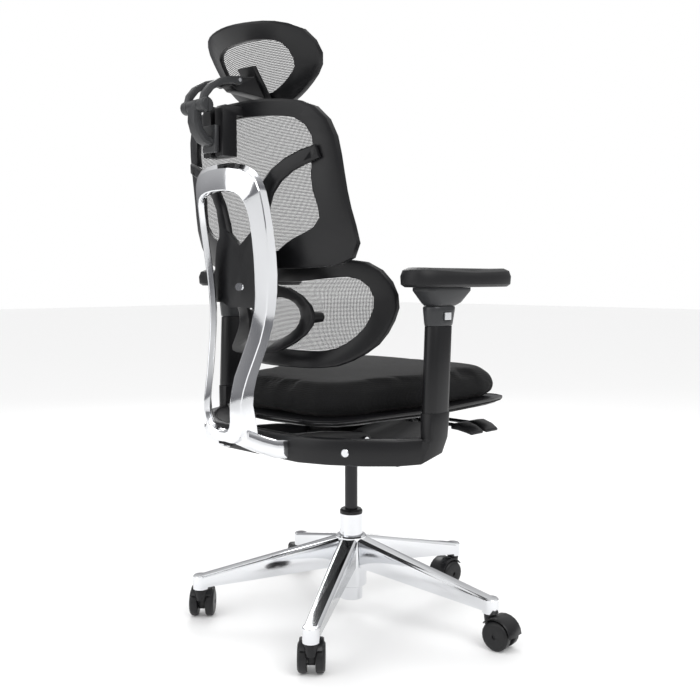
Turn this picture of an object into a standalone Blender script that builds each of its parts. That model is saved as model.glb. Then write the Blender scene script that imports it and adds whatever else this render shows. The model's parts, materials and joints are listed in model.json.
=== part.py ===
"""Swivel office chair: five-star base, gas lift, synchro mechanism, mesh back, headrest and arms.

Metres, +Z up, floor at z = 0, the sitter faces -Y. Dimensions are taken from the lift's axis, and the last
step shifts the whole chair along Y so that the origin is halfway along its length.
Every sub-part is one closed solid. Each moving body has an empty on its joint's axis.
"""
import math

import bmesh
import bpy
from mathutils import Matrix, Vector

# ---------------------------------------------------------------- driving dimensions
GAP = 0.0003            # between pieces that touch
RUN_FIT = 0.0006        # between pieces that turn or slide in each other

BASE_RADIUS = 0.330     # lift axis to caster stem
LEG_COUNT = 5
LEG_TURN = math.radians(49.85)
LEG_ROOT_WIDTH = 0.040
LEG_TIP_WIDTH = 0.032
LEG_ROOT_TOP = 0.176
LEG_ROOT_DEPTH = 0.062
LEG_TIP_DEPTH = 0.026
LEG_WALL = 0.004
SOCKET_RADIUS = 0.0165
SOCKET_HEIGHT = 0.030     # caster socket, bottom to the top of the leg
HUB_WALL = 0.009         # hub's wall round the sleeve
LEG_BITE = 0.004         # how far outside the bore a leg starts, within the hub's wall
HUB_BOTTOM = 0.070
HUB_TOP = 0.182

WHEEL_RADIUS = 0.030
WHEEL_WIDTH = 0.0185
WHEEL_SPACING = 0.0085   # half the gap between a caster's two wheels
CASTER_TRAIL = 0.024
CASTER_YAWS = (315.0, 315.0, 185.0, 85.0, 330.0)   # degrees, the way each caster trails
STEM_RADIUS = 0.0052
STEM_LENGTH = 0.022
AXLE_RADIUS = 0.004
HOOD_WALL = 0.003
HOOD_OFFSET = 0.0065     # hood's outer face beyond the wheel
SOCKET_CLEARANCE = 0.0015   # hood's top to the socket

SLEEVE_RADIUS = 0.0250
SLEEVE_WALL = 0.0022
SLEEVE_TOP = 0.229
SLEEVE_BOTTOM = 0.040
BUSH_HEIGHT = 0.010
SHAFT_RADIUS = 0.0140
SHAFT_TOP = 0.385
LIFT_STROKE = 0.090
SHAFT_FOOT = 0.035       # left under the shaft at its lowest

HOUSING_HALF_WIDTH = 0.060
HOUSING_FRONT = -0.215
HOUSING_BACK = 0.078
HOUSING_BOTTOM = 0.352
HOUSING_TOP_FRONT = 0.452
HOUSING_TOP_BACK = 0.424
RECLINE_Y = 0.035
RECLINE_Z = 0.404
RECLINE_PIN_RADIUS = 0.008
SEAT_HINGE_Y = -0.125
SEAT_HINGE_Z = 0.436
SEAT_PIN_RADIUS = 0.006
CHEEK_GAP = 0.0035       # housing side to the cheeks that straddle it
CHEEK_THICKNESS = 0.014

SEAT_FRONT = -0.270
SEAT_BACK = 0.235
SEAT_FRONT_HALF = 0.250
SEAT_BACK_HALF = 0.190
SEAT_CORNER = 0.085
SEAT_RAKE = math.radians(2.4)
SEAT_RIM_HEIGHT = 0.483  # rim of the pan above the lift's axis
PAN_THICKNESS = 0.020
CUSHION_THICKNESS = 0.062

KNOB_RADIUS = 0.0215
KNOB_LENGTH = 0.036
KNOB_Y = 0.004
KNOB_Z = 0.374
LEVER_YS = (-0.140, -0.192)
LEVER_Z = 0.428
LEVER_REACH = 0.190
ROD_RADIUS = 0.0042

CARRIER_REAR_Y = 0.262
CARRIER_HALF_THICKNESS = 0.011
CARRIER_BOTTOM = 0.398
CARRIER_TOP = 0.448
ARM_CLEARANCE = 0.060    # seat's edge to the middle of an arm post
ARM_Y = 0.088
CARRIER_STUB_TOP = 0.494
POST_HALF_X = 0.0165
POST_HALF_Y = 0.0300
POST_TOP = 0.655
POST_WALL = 0.0045
POST_LEAN = 0.045        # how far the post leans forward for each metre of height
ARM_TRAVEL = 0.060
STEM_FOOT = 0.002        # left under an arm's stem at its lowest
STEM_TOP = 0.692
PAD_LENGTH = 0.290
PAD_WIDTH = 0.096
PAD_BOTTOM = 0.727
PAD_THICKNESS = 0.034

HOOP_THICKNESS = 0.014
PLATE_THICKNESS = 0.010
BACK_FRAME_THICKNESS = 0.016
LUMBAR_FRAME_THICKNESS = 0.016
HEADREST_THICKNESS = 0.016
MESH_THICKNESS = 0.0024
BACK_WRAP = 1.05         # forward curve of the upper back: depth per width squared
LUMBAR_WRAP = 2.0
HEADREST_WRAP = 2.5
HEADREST_SLOPE = 0.70    # backward lean of the headrest: depth per height
BARREL_Y = 0.400
BARREL_Z = 1.0545
BARREL_RADIUS = 0.0125
BARREL_HALF = 0.031
TILT_PIN_Y = 0.3225
TILT_PIN_Z = 1.1095

# sizes that follow others
HUB_RADIUS = SLEEVE_RADIUS + HUB_WALL
SOCKET_BOTTOM = 2.0 * WHEEL_RADIUS + HOOD_OFFSET + SOCKET_CLEARANCE
LEG_TIP_TOP = SOCKET_BOTTOM + SOCKET_HEIGHT
SHAFT_BOTTOM = SLEEVE_BOTTOM + LIFT_STROKE + SHAFT_FOOT
ARM_X = SEAT_FRONT_HALF + ARM_CLEARANCE

MATERIALS = {
    "polished_aluminium": ((0.86, 0.87, 0.88), 0.12, 1.0),
    "chromed_steel": ((0.80, 0.81, 0.83), 0.10, 1.0),
    "black_plastic": ((0.018, 0.018, 0.020), 0.45, 0.0),
    "grey_plastic": ((0.10, 0.10, 0.11), 0.40, 0.0),
    "black_fabric": ((0.012, 0.012, 0.013), 0.90, 0.0),
    "black_mesh": ((0.05, 0.05, 0.055), 0.75, 0.0),
    "soft_pad": ((0.022, 0.022, 0.024), 0.60, 0.0),
    "black_steel": ((0.03, 0.03, 0.032), 0.35, 0.6),
    "tread": ((0.03, 0.03, 0.032), 0.55, 0.0),
}


# ---------------------------------------------------------------- scene helpers
def clear_scene():
    for item in list(bpy.data.objects):
        bpy.data.objects.remove(item, do_unlink=True)


def make_material(name):
    colour, roughness, metallic = MATERIALS[name]
    material = bpy.data.materials.new(name)
    material.use_nodes = True
    shader = material.node_tree.nodes["Principled BSDF"]
    shader.inputs["Base Color"].default_value = (*colour, 1.0)
    shader.inputs["Roughness"].default_value = roughness
    shader.inputs["Metallic"].default_value = metallic
    return material


def make_empty(name, place, parent=None):
    empty = bpy.data.objects.new(name, None)
    bpy.context.scene.collection.objects.link(empty)
    empty.parent = parent
    held = parent["place"] if parent else (0.0, 0.0, 0.0)
    empty["place"] = tuple(place)
    empty.location = Vector(place) - Vector(held)
    return empty


def make_piece(name, bm, material, body):
    """A mesh modelled in the chair's own frame becomes an object whose origin is its body's empty."""
    bmesh.ops.remove_doubles(bm, verts=bm.verts, dist=0.00002)
    bmesh.ops.recalc_face_normals(bm, faces=bm.faces)
    bmesh.ops.translate(bm, verts=bm.verts, vec=-Vector(body["place"]))
    mesh = bpy.data.meshes.new(name)
    bm.to_mesh(mesh)
    bm.free()
    mesh.shade_smooth()
    mesh.set_sharp_from_angle(angle=math.radians(35.0))
    mesh.materials.append(material)
    piece = bpy.data.objects.new(name, mesh)
    bpy.context.scene.collection.objects.link(piece)
    piece.parent = body
    return piece


def boolean(piece, bm, operation):
    """Union or cut a closed tool mesh, given in the chair's own frame, into a piece."""
    bmesh.ops.recalc_face_normals(bm, faces=bm.faces)
    bmesh.ops.translate(bm, verts=bm.verts, vec=-Vector(piece.parent["place"]))
    number = len(piece.modifiers) + 1
    mesh = bpy.data.meshes.new(f"{piece.name}_tool_{number}")
    bm.to_mesh(mesh)
    bm.free()
    tool = bpy.data.objects.new(mesh.name, mesh)
    bpy.context.scene.collection.objects.link(tool)
    tool.parent = piece.parent
    tool.hide_render = True
    tool.display_type = "WIRE"
    modifier = piece.modifiers.new(f"{operation.lower()}_{number}", "BOOLEAN")
    modifier.operation = operation
    modifier.solver = "EXACT"
    modifier.object = tool


# ---------------------------------------------------------------- shape helpers
def loft(bm, loops, closed=False):
    """Quads between loops of equal length; closed joins the last loop to the first."""
    rings = [[bm.verts.new(point) for point in loop] for loop in loops]
    pairs = list(zip(rings, rings[1:]))
    if closed:
        pairs.append((rings[-1], rings[0]))
    for first, second in pairs:
        count = len(first)
        for k in range(count):
            follow = (k + 1) % count
            bm.faces.new((first[k], first[follow], second[follow], second[k]))
    if not closed:
        bm.faces.new(list(reversed(rings[0])))
        bm.faces.new(rings[-1])


def axis_matrix(place, direction):
    turn = Vector(direction).to_track_quat("Z", "Y").to_matrix().to_4x4()
    return Matrix.Translation(Vector(place)) @ turn


def turned(bm, profile, place, direction, segments, hollow=False):
    """Revolve (radius, height) points about an axis; hollow closes the profile on itself."""
    matrix = axis_matrix(place, direction)
    loops = []
    for radius, height in profile:
        loop = []
        for k in range(segments):
            angle = 2.0 * math.pi * k / segments
            point = Vector((radius * math.cos(angle), radius * math.sin(angle), height))
            loop.append(matrix @ point)
        loops.append(loop)
    loft(bm, loops, closed=hollow)


def rounded_box_loop(centre, across, half_across, along, half_along, corner, steps=3):
    """A rounded rectangle of points round a centre, in the plane of two directions."""
    across, along, centre = Vector(across), Vector(along), Vector(centre)
    points = []
    for quarter in range(4):
        sign_a = 1 if quarter in (0, 3) else -1
        sign_b = 1 if quarter in (0, 1) else -1
        for step in range(steps):
            angle = math.pi / 2 * (quarter + step / (steps - 1))
            offset_a = sign_a * (half_across - corner) + corner * math.cos(angle)
            offset_b = sign_b * (half_along - corner) + corner * math.sin(angle)
            points.append(centre + across * offset_a + along * offset_b)
    return points


def box(bm, low, high, bevel=0.0):
    start = set(bm.verts)
    low, high = Vector(low), Vector(high)
    middle, size = (low + high) / 2, high - low
    matrix = Matrix.Translation(middle) @ Matrix.Diagonal((*size, 1.0))
    made = bmesh.ops.create_cube(bm, size=1.0, matrix=matrix)
    if bevel > 0.0:
        edges = {edge for vert in made["verts"] for edge in vert.link_edges}
        bmesh.ops.bevel(bm, geom=list(edges), offset=bevel, segments=2, profile=0.5, affect="EDGES")
    return [vert for vert in bm.verts if vert not in start]


def prism(bm, outline, place_low, place_high):
    """Two placements of one flat outline, joined: each placement maps (a, b) to a point."""
    loft(bm, [[place_low(a, b) for a, b in outline], [place_high(a, b) for a, b in outline]])


def spline(points, steps, closed):
    """A smooth curve through points of any dimension, with steps new points to each span."""
    count = len(points)
    spans = count if closed else count - 1
    curve = []
    for k in range(spans):
        if closed:
            four = [points[(k + offset) % count] for offset in (-1, 0, 1, 2)]
        else:
            four = [points[min(max(k + offset, 0), count - 1)] for offset in (-1, 0, 1, 2)]
        for step in range(steps):
            t = step / steps
            weights = (
                -0.5 * t + t * t - 0.5 * t ** 3,
                1.0 - 2.5 * t * t + 1.5 * t ** 3,
                0.5 * t + 2.0 * t * t - 1.5 * t ** 3,
                -0.5 * t * t + 0.5 * t ** 3,
            )
            curve.append(tuple(
                sum(weight * point[axis] for weight, point in zip(weights, four))
                for axis in range(len(points[0]))
            ))
    if not closed:
        curve.append(tuple(points[-1]))
    return curve


def mirrored_loop(half):
    """Points from the bottom centre up to the top centre, closed by their mirror image."""
    return list(half) + [(-point[0], *point[1:]) for point in reversed(half[1:-1])]


def even_loop(points, count):
    """Resample a closed loop of flat points at equal distances, starting at its first point."""
    loop = [Vector(point) for point in points]
    lengths = [0.0]
    for k in range(len(loop)):
        lengths.append(lengths[-1] + (loop[(k + 1) % len(loop)] - loop[k]).length)
    total = lengths[-1]
    result, span = [], 0
    for k in range(count):
        goal = total * k / count
        while lengths[span + 1] < goal:
            span += 1
        share = (goal - lengths[span]) / (lengths[span + 1] - lengths[span])
        result.append(loop[span].lerp(loop[(span + 1) % len(loop)], share))
    return result


def flat_outline(half, count, steps=6):
    return even_loop(spline(mirrored_loop(half), steps, True), count)


def on_surface(outline, surface, offset):
    """Flat (x, z) points laid on a back surface y = surface(x, z), moved back by an offset."""
    return [Vector((x, surface(x, z) + offset, z)) for x, z in outline]


def surface_ring(bm, outer, inner, surface, thickness):
    """A frame between two outlines, on a surface; its front face lies on the surface."""
    loops = [
        on_surface(outer, surface, thickness * 0.85),
        on_surface(outer, surface, thickness * 0.15),
        on_surface([o.lerp(i, 0.12) for o, i in zip(outer, inner)], surface, 0.0),
        on_surface(inner, surface, 0.0),
        on_surface(inner, surface, thickness * 0.7),
        on_surface([o.lerp(i, 0.15) for o, i in zip(outer, inner)], surface, thickness),
    ]
    loft(bm, loops, closed=True)


def surface_panel(bm, outline, surface, offset, thickness, rings=3):
    """A panel inside an outline, on a surface, with inner rings so that it follows the curve."""
    middle = sum(outline, Vector((0.0, 0.0))) / len(outline)
    sides = []
    for shift in (offset, offset + thickness):
        side = []
        for ring in range(rings):
            share = ring / rings
            side.append(on_surface([p.lerp(middle, share) for p in outline], surface, shift))
        sides.append(side)
    loops = list(reversed(sides[0])) + sides[1]
    rings_made = [[bm.verts.new(point) for point in loop] for loop in loops]
    count = len(outline)
    for first, second in zip(rings_made, rings_made[1:]):
        for k in range(count):
            follow = (k + 1) % count
            bm.faces.new((first[k], first[follow], second[follow], second[k]))
    for ring, shift in ((rings_made[0], offset), (rings_made[-1], offset + thickness)):
        centre = bm.verts.new((middle[0], surface(*middle) + shift, middle[1]))
        for k in range(count):
            bm.faces.new((ring[k], ring[(k + 1) % count], centre))


# ---------------------------------------------------------------- star base
def leg_direction(k):
    angle = LEG_TURN + 2.0 * math.pi * k / LEG_COUNT
    return Vector((math.cos(angle), math.sin(angle), 0.0))


def leg_section(k, distance, shrink=0.0):
    """The leg's trapezoid section at a distance from the axis, bevelled along its top edges."""
    ahead = leg_direction(k)
    side = Vector((-ahead.y, ahead.x, 0.0))
    share = (distance - HUB_RADIUS) / (BASE_RADIUS - HUB_RADIUS)
    half = (LEG_ROOT_WIDTH + (LEG_TIP_WIDTH - LEG_ROOT_WIDTH) * share) / 2 - shrink
    top = LEG_ROOT_TOP + (LEG_TIP_TOP - LEG_ROOT_TOP) * share - shrink
    depth = LEG_ROOT_DEPTH + (LEG_TIP_DEPTH - LEG_ROOT_DEPTH) * share
    bottom = top - depth + (0.0 if not shrink else -LEG_WALL)
    bevel = 0.0055
    outline = [
        (-half * 0.86, bottom), (half * 0.86, bottom), (half, top - bevel),
        (half - bevel, top), (-half + bevel, top), (-half, top - bevel),
    ]
    return [ahead * distance + side * a + Vector((0.0, 0.0, b)) for a, b in outline]


def build_base(materials, root):
    bm = bmesh.new()
    bore = SLEEVE_RADIUS + GAP
    turned(bm, [
        (bore, HUB_BOTTOM), (HUB_RADIUS - 0.002, HUB_BOTTOM), (HUB_RADIUS, HUB_BOTTOM + 0.002),
        (HUB_RADIUS, HUB_TOP - 0.003), (HUB_RADIUS - 0.003, HUB_TOP), (bore, HUB_TOP),
    ], (0, 0, 0), (0, 0, 1), 30, hollow=True)
    base = make_piece("star_base", bm, materials["polished_aluminium"], root)
    for k in range(LEG_COUNT):
        bm = bmesh.new()
        start = bore + LEG_BITE
        loft(bm, [leg_section(k, start), leg_section(k, BASE_RADIUS + 0.003)])
        boolean(base, bm, "UNION")
    for k in range(LEG_COUNT):
        foot = leg_direction(k) * BASE_RADIUS
        bm = bmesh.new()
        turned(bm, [
            (SOCKET_RADIUS, SOCKET_BOTTOM), (SOCKET_RADIUS, LEG_TIP_TOP - 0.0016),
            (SOCKET_RADIUS - 0.002, LEG_TIP_TOP + 0.0004),
        ], foot, (0, 0, 1), 18)
        boolean(base, bm, "UNION")
    for k in range(LEG_COUNT):
        bm = bmesh.new()
        start = HUB_RADIUS + LEG_WALL
        finish = BASE_RADIUS - SOCKET_RADIUS - LEG_WALL
        loft(bm, [leg_section(k, start, LEG_WALL), leg_section(k, finish, LEG_WALL)])
        boolean(base, bm, "DIFFERENCE")
        foot = leg_direction(k) * BASE_RADIUS
        bm = bmesh.new()
        depth = SOCKET_BOTTOM + STEM_LENGTH + 0.002
        turned(bm, [
            (STEM_RADIUS + RUN_FIT, SOCKET_BOTTOM - 0.02), (STEM_RADIUS + RUN_FIT, depth),
        ], foot, (0, 0, 1), 12)
        boolean(base, bm, "DIFFERENCE")

    bm = bmesh.new()
    inner = SLEEVE_RADIUS - SLEEVE_WALL
    turned(bm, [
        (inner, SLEEVE_BOTTOM), (SLEEVE_RADIUS, SLEEVE_BOTTOM),
        (SLEEVE_RADIUS, SLEEVE_TOP), (inner, SLEEVE_TOP),
    ], (0, 0, 0), (0, 0, 1), 30, hollow=True)
    make_piece("gas_lift_sleeve", bm, materials["chromed_steel"], root)

    bm = bmesh.new()
    running = SHAFT_RADIUS + RUN_FIT
    seat = SLEEVE_TOP + GAP
    turned(bm, [
        (running, SLEEVE_TOP - 0.030), (inner - GAP, SLEEVE_TOP - 0.030), (inner - GAP, seat),
        (SLEEVE_RADIUS, seat), (SLEEVE_RADIUS, seat + BUSH_HEIGHT * 0.6),
        (SLEEVE_RADIUS - 0.003, seat + BUSH_HEIGHT), (running, seat + BUSH_HEIGHT),
    ], (0, 0, 0), (0, 0, 1), 24, hollow=True)
    make_piece("hub_bush", bm, materials["black_plastic"], root)


def build_shaft(materials, lift):
    bm = bmesh.new()
    turned(bm, [
        (SHAFT_RADIUS, SHAFT_BOTTOM), (SHAFT_RADIUS, SHAFT_TOP - 0.002), (SHAFT_RADIUS - 0.002, SHAFT_TOP),
    ], (0, 0, 0), (0, 0, 1), 24)
    make_piece("gas_lift_shaft", bm, materials["black_steel"], lift)


# ---------------------------------------------------------------- casters
def build_caster(k, materials, root):
    """Hood on its stem, and two wheels on one axle trailing behind the stem."""
    foot = leg_direction(k) * BASE_RADIUS
    yaw = math.radians(CASTER_YAWS[k])
    trail = Vector((math.cos(yaw), math.sin(yaw), 0.0))
    along = Vector((-trail.y, trail.x, 0.0))
    swivel = make_empty(f"caster_{k + 1}", (foot.x, foot.y, SOCKET_BOTTOM), root)
    centre = foot + trail * CASTER_TRAIL + Vector((0.0, 0.0, WHEEL_RADIUS))
    spin = make_empty(f"wheels_{k + 1}", centre, swivel)

    bm = bmesh.new()
    outer = WHEEL_RADIUS + HOOD_OFFSET
    inner = outer - HOOD_WALL
    half = WHEEL_SPACING + WHEEL_WIDTH * 0.80
    first, last, steps = math.radians(38.0), math.radians(176.0), 8
    cover = []
    for step in range(steps + 1):
        angle = first + (last - first) * step / steps
        ray = -trail * math.cos(angle) + Vector((0.0, 0.0, math.sin(angle)))
        cover.append([
            centre + ray * outer - along * (half - 0.003), centre + ray * outer + along * (half - 0.003),
            centre + ray * (outer - 0.0015) + along * half, centre + ray * inner + along * half,
            centre + ray * inner - along * half, centre + ray * (outer - 0.0015) - along * half,
        ])
    loft(bm, cover)
    hood = make_piece(f"caster_hood_{k + 1}", bm, materials["black_plastic"], swivel)

    bm = bmesh.new()
    web = []
    for side in (-1, 1):
        ring = []
        for step in range(14):
            angle = 2.0 * math.pi * step / 14
            radius = (outer - 0.001) if math.radians(30) < angle < math.radians(190) else 0.016
            ray = -trail * math.cos(angle) + Vector((0.0, 0.0, math.sin(angle)))
            ring.append(centre + ray * radius + along * side * (WHEEL_SPACING - RUN_FIT * 2))
        web.append(ring)
    loft(bm, web)
    boolean(hood, bm, "UNION")

    bm = bmesh.new()
    turned(bm, [
        (0.0110, WHEEL_RADIUS + 0.012), (0.0135, SOCKET_BOTTOM - 0.004),
        (0.0125, SOCKET_BOTTOM - RUN_FIT), (STEM_RADIUS, SOCKET_BOTTOM - RUN_FIT),
        (STEM_RADIUS, SOCKET_BOTTOM + STEM_LENGTH),
    ], (foot.x, foot.y, 0), (0, 0, 1), 12)
    boolean(hood, bm, "UNION")

    for side in (-1, 1):
        bm = bmesh.new()
        start = WHEEL_SPACING
        turned(bm, [
            (WHEEL_RADIUS + 0.0012, start - 0.0008), (WHEEL_RADIUS + 0.0012, start + WHEEL_WIDTH + 0.004),
        ], centre, along * side, 20)
        boolean(hood, bm, "DIFFERENCE")
    bm = bmesh.new()
    reach = WHEEL_SPACING + WHEEL_WIDTH
    turned(bm, [(AXLE_RADIUS + RUN_FIT, -reach), (AXLE_RADIUS + RUN_FIT, reach)], centre, along, 10)
    boolean(hood, bm, "DIFFERENCE")

    bm = bmesh.new()
    end = reach - 0.0030
    turned(bm, [(AXLE_RADIUS, -end), (AXLE_RADIUS, end)], centre, along, 10)
    make_piece(f"caster_axle_{k + 1}", bm, materials["black_steel"], spin)
    bore = AXLE_RADIUS + GAP
    for side, word in ((-1, "left"), (1, "right")):
        bm = bmesh.new()
        face = WHEEL_SPACING + WHEEL_WIDTH
        turned(bm, [
            (bore, WHEEL_SPACING), (WHEEL_RADIUS - 0.0015, WHEEL_SPACING),
            (WHEEL_RADIUS, WHEEL_SPACING + 0.0020), (WHEEL_RADIUS, face - 0.0045),
            (WHEEL_RADIUS - 0.0045, face - 0.0005), (bore, face),
        ], centre, along * side, 20, hollow=True)
        make_piece(f"caster_wheel_{word}_{k + 1}", bm, materials["tread"], spin)


# ---------------------------------------------------------------- mechanism and seat
def side_prism(bm, outline, x_low, x_high):
    """An outline of (y, z) points, thick along x."""
    prism(bm, outline, lambda y, z: Vector((x_low, y, z)), lambda y, z: Vector((x_high, y, z)))


def bore_along_x(piece, radius, y, z, reach):
    bm = bmesh.new()
    turned(bm, [(radius, -reach), (radius, reach)], (0, y, z), (1, 0, 0), 14)
    boolean(piece, bm, "DIFFERENCE")


def build_mechanism(materials, seat_turn, knob_body, lever_bodies):
    bm = bmesh.new()
    back_top = HOUSING_TOP_BACK
    outline = [
        (HOUSING_FRONT, 0.412), (-0.170, 0.378), (-0.070, HOUSING_BOTTOM + 0.006),
        (-0.040, HOUSING_BOTTOM), (0.040, HOUSING_BOTTOM), (0.062, HOUSING_BOTTOM + 0.010),
        (HOUSING_BACK, 0.384), (HOUSING_BACK, back_top - 0.008), (HOUSING_BACK - 0.010, back_top),
        (SEAT_HINGE_Y + 0.02, HOUSING_TOP_FRONT), (HOUSING_FRONT + 0.010, HOUSING_TOP_FRONT),
        (HOUSING_FRONT, HOUSING_TOP_FRONT - 0.010),
    ]
    side_prism(bm, outline, -HOUSING_HALF_WIDTH, HOUSING_HALF_WIDTH)
    edges = [e for e in bm.edges if abs(e.verts[0].co.x - e.verts[1].co.x) < 0.001]
    bmesh.ops.bevel(bm, geom=edges, offset=0.004, segments=2, profile=0.5, affect="EDGES")
    housing = make_piece("tilt_mechanism", bm, materials["black_steel"], seat_turn)
    bm = bmesh.new()
    turned(bm, [
        (SHAFT_RADIUS + GAP, HOUSING_BOTTOM - 0.01), (SHAFT_RADIUS + GAP, SHAFT_TOP + GAP),
    ], (0, 0, 0), (0, 0, 1), 32)
    boolean(housing, bm, "DIFFERENCE")
    bore_along_x(housing, RECLINE_PIN_RADIUS + GAP, RECLINE_Y, RECLINE_Z, 0.1)
    bore_along_x(housing, SEAT_PIN_RADIUS + GAP, SEAT_HINGE_Y, SEAT_HINGE_Z, 0.1)
    for y, z, radius in [(KNOB_Y, KNOB_Z, 0.006)] + [(y, LEVER_Z, ROD_RADIUS) for y in LEVER_YS]:
        bm = bmesh.new()
        turned(bm, [(radius + RUN_FIT, -0.1), (radius + RUN_FIT, -0.036)], (0, y, z), (1, 0, 0), 16)
        boolean(housing, bm, "DIFFERENCE")

    cheek = HOUSING_HALF_WIDTH + CHEEK_GAP + CHEEK_THICKNESS
    for name, radius, y, z in (
        ("recline_pin", RECLINE_PIN_RADIUS, RECLINE_Y, RECLINE_Z),
        ("seat_hinge_pin", SEAT_PIN_RADIUS, SEAT_HINGE_Y, SEAT_HINGE_Z),
    ):
        bm = bmesh.new()
        reach = cheek + 0.004
        turned(bm, [
            (radius, -reach), (radius, reach),
        ], (0, y, z), (1, 0, 0), 14)
        make_piece(name, bm, materials["chromed_steel"], seat_turn)

    bm = bmesh.new()
    start = -0.112
    turned(bm, [
        (0.006, -0.040), (0.006, start), (KNOB_RADIUS - 0.003, start), (KNOB_RADIUS, start - 0.003),
        (KNOB_RADIUS, start - KNOB_LENGTH + 0.004), (KNOB_RADIUS - 0.004, start - KNOB_LENGTH),
    ], (0, KNOB_Y, KNOB_Z), (1, 0, 0), 18)
    make_piece("tension_knob", bm, materials["black_plastic"], knob_body)

    for name, y, body in zip(("height_lever", "tilt_lever"), LEVER_YS, lever_bodies):
        bm = bmesh.new()
        turned(bm, [(ROD_RADIUS, -0.040), (ROD_RADIUS, -LEVER_REACH - 0.008)],
               (0, y, LEVER_Z), (1, 0, 0), 12)
        lever = make_piece(name, bm, materials["black_plastic"], body)
        bm = bmesh.new()
        half = 0.0215
        loops = []
        for x, drop, thick in ((-0.007, 0.0, 0.006), (0.010, 0.001, 0.0075), (0.032, -0.004, 0.006),
                               (0.046, -0.010, 0.003)):
            loops.append(rounded_box_loop(
                (-LEVER_REACH - x, y, LEVER_Z + drop), (0, 1, 0), half, (0, 0, 1), thick, min(thick, 0.0028)))
        loft(bm, loops)
        boolean(lever, bm, "UNION")


def seat_outline(grow=0.0, count=40):
    """The seat's plan: wider in front, with round corners, as (x, y) points."""
    front, back = SEAT_FRONT - grow, SEAT_BACK + grow
    front_half, back_half = SEAT_FRONT_HALF + grow, SEAT_BACK_HALF + grow
    corner = SEAT_CORNER
    half = [(0.0, front)]
    for step in range(6):
        angle = math.pi / 2 * step / 5
        half.append((front_half - corner + corner * math.sin(angle),
                     front + corner - corner * math.cos(angle)))
    half.append((front_half - 0.012, (front + back) / 2 + 0.02))
    for step in range(6):
        angle = math.pi / 2 * step / 5
        half.append((back_half - corner + corner * math.cos(angle),
                     back - corner + corner * math.sin(angle)))
    half.append((0.0, back + 0.006))
    return even_loop(mirrored_loop(half), count)


def seat_height(x, y):
    """Height of the pan's rim: raked back, dished across, and turned down at the front edge."""
    fall = max(0.0, (SEAT_FRONT + 0.10) - y)
    return SEAT_RIM_HEIGHT - math.tan(SEAT_RAKE) * y - 1.1 * fall ** 2


def seat_solid(bm, levels):
    """Stack seat outlines: each level is (grow, height above the rim, share towards a flat)."""
    loops = []
    for grow, rise in levels:
        loop = []
        for x, y in seat_outline(grow):
            loop.append(Vector((x, y, seat_height(x, y) + rise)))
        loops.append(loop)
    rings = [[bm.verts.new(point) for point in loop] for loop in loops]
    count = len(rings[0])
    for first, second in zip(rings, rings[1:]):
        for k in range(count):
            follow = (k + 1) % count
            bm.faces.new((first[k], first[follow], second[follow], second[k]))
    for ring, (grow, rise) in ((rings[0], levels[0]), (rings[-1], levels[-1])):
        middle_y = (SEAT_FRONT + SEAT_BACK) / 2
        centre = bm.verts.new((0.0, middle_y, seat_height(0.0, middle_y) + rise))
        for k in range(count):
            bm.faces.new((ring[k], ring[(k + 1) % count], centre))


def build_seat(materials, seat):
    bm = bmesh.new()
    seat_solid(bm, [(-0.070, -PAN_THICKNESS), (-0.012, -PAN_THICKNESS * 0.75), (0.0, -0.004),
                    (0.001, 0.0), (-0.004, 0.0)])
    pan = make_piece("seat_pan", bm, materials["black_plastic"], seat)
    low = SEAT_HINGE_Z
    for side in (-1, 1):
        near = HOUSING_HALF_WIDTH + CHEEK_GAP
        bm = bmesh.new()
        high = SEAT_RIM_HEIGHT - 0.008
        side_prism(bm, [
            (SEAT_HINGE_Y - 0.022, high), (SEAT_HINGE_Y - 0.012, low), (SEAT_HINGE_Y - 0.008, low - 0.010),
            (SEAT_HINGE_Y + 0.008, low - 0.010), (SEAT_HINGE_Y + 0.012, low), (SEAT_HINGE_Y + 0.022, high),
        ], side * near, side * (near + CHEEK_THICKNESS))
        boolean(pan, bm, "UNION")
    bore_along_x(pan, SEAT_PIN_RADIUS + RUN_FIT, SEAT_HINGE_Y, SEAT_HINGE_Z, 0.1)

    bm = bmesh.new()
    top = CUSHION_THICKNESS
    seat_solid(bm, [(-0.006, GAP), (0.0, 0.010), (0.002, top * 0.45), (-0.004, top * 0.78),
                    (-0.022, top * 0.97), (-0.060, top)])
    make_piece("seat_cushion", bm, materials["black_fabric"], seat)


# ---------------------------------------------------------------- back carrier and hoop
def plan_outward(plan, k):
    """The way out of the carrier at a point of its plan, level with the floor."""
    before, after = Vector(plan[max(k - 1, 0)]), Vector(plan[min(k + 1, len(plan) - 1)])
    ahead = (after - before).normalized()
    return Vector((ahead.y, -ahead.x, 0.0))


def bolt_seat(plan, sign, height):
    """Where a carrier bolt sits, and its axis: flush on the flat between the third and fourth points."""
    ends = [Vector((*plan[k], height)) + plan_outward(plan, k) * CARRIER_HALF_THICKNESS for k in (2, 3)]
    along = (ends[1] - ends[0]).normalized()
    outward = Vector((along.y, -along.x, 0.0))
    place = ends[0].lerp(ends[1], 0.48) + outward * GAP
    return Vector((sign * place.x, place.y, place.z)), Vector((sign * outward.x, outward.y, 0.0))


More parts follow.
